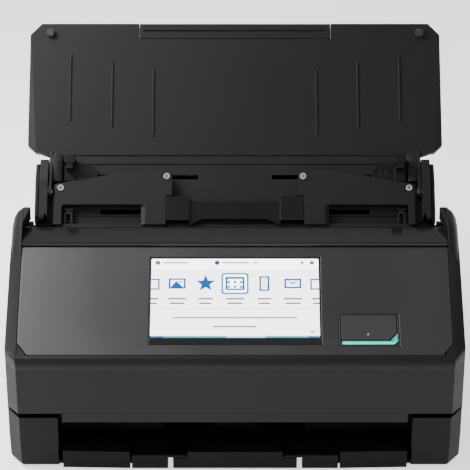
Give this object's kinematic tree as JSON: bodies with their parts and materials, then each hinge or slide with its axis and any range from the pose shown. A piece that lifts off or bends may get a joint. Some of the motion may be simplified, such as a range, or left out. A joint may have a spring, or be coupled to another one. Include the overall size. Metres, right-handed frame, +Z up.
{
  "type": "desktop document scanner",
  "caption": "Desktop sheet-fed document scanner, opened for use: hinged paper cover as chute, receipt guide, touch screen, scan button and telescoping output stacker.",
  "frame": {"origin": "on the table, under the middle of the bounding box with the cover open and the stacker in", "axes": "+X to the right seen from the front, +Y to the rear, +Z up"},
  "size_m": [0.292, 0.2068, 0.2223],
  "materials": {
    "charcoal_plastic": "fine-grained moulded charcoal",
    "black_plastic": "fine-grained moulded black",
    "gloss_black": "polished",
    "screen_glass": "lit display under a clear cover",
    "scan_glass": "clear",
    "aqua_light": "translucent, lit",
    "steel": "plated sheet and turned steel",
    "rubber": "matte",
    "circuit_board": "green solder mask"
  },
  "bodies": {
    "housing": {"base_tray": "charcoal_plastic", "rear_cover": "charcoal_plastic", "front_left_foot": "rubber", "front_right_foot": "rubber", "rear_left_foot": "rubber", "rear_right_foot": "rubber", "main_board": "circuit_board", "power_inlet": "black_plastic", "data_socket": "steel", "left_front_hinge_pin": "steel", "right_front_hinge_pin": "steel", "lower_guide": "black_plastic", "chute": "charcoal_plastic", "left_side_frame": "steel", "right_side_frame": "steel", "drive_motor": "steel", "drive_belt": "rubber", "rear_scan_unit": "black_plastic", "rear_scan_glass": "scan_glass", "left_cover_pin": "steel", "right_cover_pin": "steel", "receipt_guide": "charcoal_plastic", "receipt_bridge": "black_plastic"},
    "cover": {"cover_tray": "charcoal_plastic", "cover_shell": "charcoal_plastic", "left_cover_stud": "rubber", "right_cover_stud": "rubber"},
    "extension": {"cover_extension": "charcoal_plastic"},
    "front_section": {"front_cover": "charcoal_plastic", "feed_lip": "gloss_black", "front_guide": "black_plastic", "front_scan_unit": "black_plastic", "front_scan_glass": "scan_glass", "left_latch_pin": "steel", "right_latch_pin": "steel", "control_panel": "charcoal_plastic", "touch_screen": "screen_glass", "button_surround": "black_plastic", "button_light": "aqua_light", "button_spring": "steel"},
    "scan_button": {"scan_button": "charcoal_plastic"},
    "brake_roller": {"brake_roller": "rubber"},
    "feed_idler": {"feed_idler": "rubber"},
    "exit_idler": {"exit_idler": "rubber"},
    "left_guide": {"left_side_guide": "black_plastic", "left_rack": "black_plastic"},
    "right_guide": {"right_side_guide": "black_plastic", "right_rack": "black_plastic"},
    "guide_pinion": {"guide_pinion": "black_plastic"},
    "pick_roller": {"pick_roller": "rubber"},
    "feed_roller": {"feed_roller": "rubber"},
    "exit_roller": {"exit_roller": "rubber"},
    "motor_pulley": {"motor_pulley": "steel"},
    "outer_stage": {"stacker_outer": "charcoal_plastic"},
    "middle_stage": {"stacker_middle": "charcoal_plastic"},
    "centre_stage": {"stacker_centre": "charcoal_plastic"},
    "end_stop": {"stacker_stop": "charcoal_plastic"}
  },
  "joints": [
    {"name": "cover_hinge", "type": "hinge", "parent": "housing", "child": "cover", "pos_m": [0, 0.00978, 0.1424], "axis": [-1, 0, 0], "range_deg": [-165, 0]},
    {"name": "extension_slide", "type": "slide", "parent": "cover", "child": "extension", "axis": [0, 0.7193, 0.6947], "range_m": [0, 0.065]},
    {"name": "front_section_hinge", "type": "hinge", "parent": "housing", "child": "front_section", "pos_m": [0, -0.09554, 0.0435], "axis": [1, 0, 0], "range_deg": [0, 42]},
    {"name": "scan_button_press", "type": "slide", "parent": "front_section", "child": "scan_button", "axis": [0, 0.4787, -0.878], "range_m": [0, 0.0008], "stiffness_N_per_m": 400, "springref_m": -0.0012},
    {"name": "left_guide_slide", "type": "slide", "parent": "housing", "child": "left_guide", "axis": [1, 0, 0], "range_m": [0, 0.08]},
    {"name": "right_guide_slide", "type": "slide", "parent": "housing", "child": "right_guide", "axis": [-1, 0, 0], "range_m": [0, 0.08]},
    {"name": "guide_pinion_spin", "type": "hinge", "parent": "housing", "child": "guide_pinion", "pos_m": [0, 0.01962, 0.13911], "axis": [0, 0.6947, -0.7193], "range_deg": [0, 509.3]},
    {"name": "pick_roller_spin", "type": "hinge", "parent": "housing", "child": "pick_roller", "pos_m": [0, -0.01814, 0.09444], "axis": [1, 0, 0], "continuous": true},
    {"name": "feed_roller_spin", "type": "hinge", "parent": "housing", "child": "feed_roller", "pos_m": [0, -0.0339, 0.0834], "axis": [1, 0, 0], "continuous": true},
    {"name": "exit_roller_spin", "type": "hinge", "parent": "housing", "child": "exit_roller", "pos_m": [0, -0.07706, 0.04172], "axis": [1, 0, 0], "continuous": true},
    {"name": "motor_pulley_spin", "type": "hinge", "parent": "housing", "child": "motor_pulley", "pos_m": [-0.13, -0.02925, 0.04548], "axis": [1, 0, 0], "continuous": true},
    {"name": "brake_roller_spin", "type": "hinge", "parent": "front_section", "child": "brake_roller", "pos_m": [0, -0.03058, 0.10731], "axis": [1, 0, 0], "continuous": true},
    {"name": "feed_idler_spin", "type": "hinge", "parent": "front_section", "child": "feed_idler", "pos_m": [0, -0.0439, 0.09376], "axis": [1, 0, 0], "continuous": true},
    {"name": "exit_idler_spin", "type": "hinge", "parent": "front_section", "child": "exit_idler", "pos_m": [0, -0.08706, 0.05208], "axis": [1, 0, 0], "continuous": true},
    {"name": "stacker_outer_slide", "type": "slide", "parent": "housing", "child": "outer_stage", "axis": [0, -1, 0], "range_m": [0, 0.09]},
    {"name": "stacker_middle_slide", "type": "slide", "parent": "outer_stage", "child": "middle_stage", "axis": [0, -1, 0], "range_m": [0, 0.08]},
    {"name": "stacker_centre_slide", "type": "slide", "parent": "middle_stage", "child": "centre_stage", "axis": [0, -1, 0], "range_m": [0, 0.07]},
    {"name": "stacker_stop_hinge", "type": "hinge", "parent": "centre_stage", "child": "end_stop", "pos_m": [0, -0.09524, 0.0123], "axis": [1, 0, 0], "range_deg": [0, 85]}
  ],
  "couplings": [
    {"joint": "right_guide_slide", "follows": "left_guide_slide", "ratio": 1},
    {"joint": "guide_pinion_spin", "follows": "left_guide_slide", "rad_per_m": 111.11},
    {"joint": "feed_roller_spin", "follows": "pick_roller_spin", "ratio": 1.9231},
    {"joint": "exit_roller_spin", "follows": "pick_roller_spin", "ratio": 1.9231},
    {"joint": "motor_pulley_spin", "follows": "pick_roller_spin", "ratio": 1.6667}
  ]
}
